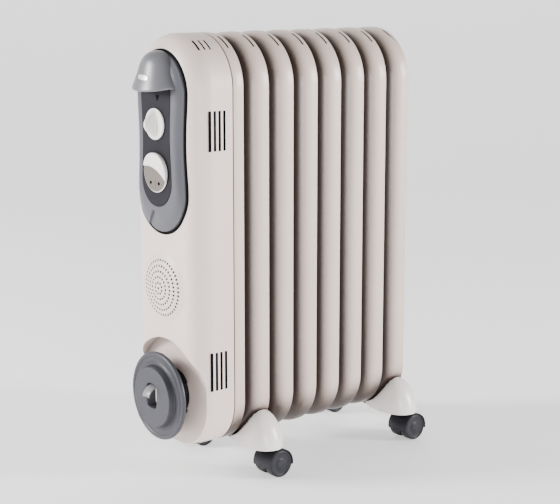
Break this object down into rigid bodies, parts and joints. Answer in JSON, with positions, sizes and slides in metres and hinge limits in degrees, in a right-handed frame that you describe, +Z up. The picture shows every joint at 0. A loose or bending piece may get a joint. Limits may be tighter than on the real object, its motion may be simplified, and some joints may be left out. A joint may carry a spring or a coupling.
{
  "type": "oil filled radiator heater",
  "caption": "Free-standing oil filled column heater: pressed fins, end housing with controls and grip hood, cord reel, domed feet on twin wheel castors.",
  "frame": {"origin": "on the floor, below the middle of the overall box", "axes": "+X from the control end to the far end, +Y across the fins, +Z up"},
  "size_m": [0.4636, 0.228, 0.65],
  "materials": {
    "fin_paint": "satin warm off-white enamel",
    "housing": "fine satin moulded ABS",
    "foot_plastic": "smooth near-white moulding",
    "knob_plastic": "smooth white moulding",
    "panel_grey": "satin mid grey moulding",
    "fascia_grey": "fine textured dark grey moulding",
    "hood_grey": "satin grey moulding",
    "badge": "plain bright plate",
    "gasket": "black",
    "reel_grey": "satin dark grey moulding",
    "reel_dark": "black moulding",
    "hook_grey": "light grey moulding",
    "castor_grey": "satin grey moulding",
    "steel": "bright zinc",
    "shield": "bright sheet",
    "element": "sheathed rod",
    "switch_black": "black moulding"
  },
  "bodies": {
    "radiator": {"fin_1": "fin_paint", "fin_2": "fin_paint", "fin_3": "fin_paint", "fin_4": "fin_paint", "fin_5": "fin_paint", "fin_6": "fin_paint", "fin_7": "fin_paint", "fin_8": "fin_paint", "header_collars": "fin_paint", "heating_element": "element", "element_flange": "steel", "filler_plug": "steel", "housing_cover": "housing", "housing_posts": "steel", "housing_screws": "steel", "heat_shield": "shield", "cord_gland": "switch_black", "selector_switch": "switch_black", "thermostat_body": "switch_black", "thermal_cutout": "steel", "terminal_block": "knob_plastic", "control_panel": "panel_grey", "panel_fascia": "fascia_grey", "panel_gasket": "gasket", "handle_hood": "hood_grey", "badge_plate": "badge", "reel_hub": "reel_dark", "reel_disc": "reel_grey", "plug_hook": "hook_grey", "foot_bar_front": "fin_paint", "foot_bar_rear": "fin_paint", "foot_cover_front_left": "foot_plastic", "foot_cover_front_right": "foot_plastic", "foot_cover_rear_left": "foot_plastic", "foot_cover_rear_right": "foot_plastic", "foot_bolts": "steel", "wing_nuts": "steel", "castor_sockets": "switch_black"},
    "selector": {"selector_knob": "knob_plastic", "selector_spindle": "steel"},
    "thermostat": {"thermostat_knob": "knob_plastic", "thermostat_spindle": "steel"},
    "castor_front_left": {"castor_body_front_left": "castor_grey", "castor_stem_front_left": "steel"},
    "wheels_front_left": {"castor_wheels_front_left": "castor_grey", "castor_axle_front_left": "steel"},
    "castor_front_right": {"castor_body_front_right": "castor_grey", "castor_stem_front_right": "steel"},
    "wheels_front_right": {"castor_wheels_front_right": "castor_grey", "castor_axle_front_right": "steel"},
    "castor_rear_left": {"castor_body_rear_left": "castor_grey", "castor_stem_rear_left": "steel"},
    "wheels_rear_left": {"castor_wheels_rear_left": "castor_grey", "castor_axle_rear_left": "steel"},
    "castor_rear_right": {"castor_body_rear_right": "castor_grey", "castor_stem_rear_right": "steel"},
    "wheels_rear_right": {"castor_wheels_rear_right": "castor_grey", "castor_axle_rear_right": "steel"}
  },
  "joints": [
    {"name": "selector_turn", "type": "hinge", "parent": "radiator", "child": "selector", "pos_m": [-0.2047, 0, 0.524], "axis": [1, 0, 0], "range_deg": [0, 135]},
    {"name": "thermostat_turn", "type": "hinge", "parent": "radiator", "child": "thermostat", "pos_m": [-0.2047, 0, 0.455], "axis": [1, 0, 0], "range_deg": [-150, 120]},
    {"name": "swivel_front_left", "type": "hinge", "parent": "radiator", "child": "castor_front_left", "pos_m": [-0.0767, 0.094, 0.044], "axis": [0, 0, 1], "continuous": true},
    {"name": "roll_front_left", "type": "hinge", "parent": "castor_front_left", "child": "wheels_front_left", "pos_m": [-0.0677, 0.094, 0.0205], "axis": [0, 1, 0], "continuous": true},
    {"name": "swivel_front_right", "type": "hinge", "parent": "radiator", "child": "castor_front_right", "pos_m": [-0.0767, -0.094, 0.044], "axis": [0, 0, 1], "continuous": true},
    {"name": "roll_front_right", "type": "hinge", "parent": "castor_front_right", "child": "wheels_front_right", "pos_m": [-0.0677, -0.094, 0.0205], "axis": [0, 1, 0], "continuous": true},
    {"name": "swivel_rear_left", "type": "hinge", "parent": "radiator", "child": "castor_rear_left", "pos_m": [0.2003, 0.094, 0.044], "axis": [0, 0, 1], "continuous": true},
    {"name": "roll_rear_left", "type": "hinge", "parent": "castor_rear_left", "child": "wheels_rear_left", "pos_m": [0.2093, 0.094, 0.0205], "axis": [0, 1, 0], "continuous": true},
    {"name": "swivel_rear_right", "type": "hinge", "parent": "radiator", "child": "castor_rear_right", "pos_m": [0.2003, -0.094, 0.044], "axis": [0, 0, 1], "continuous": true},
    {"name": "roll_rear_right", "type": "hinge", "parent": "castor_rear_right", "child": "wheels_rear_right", "pos_m": [0.2093, -0.094, 0.0205], "axis": [0, 1, 0], "continuous": true}
  ]
}
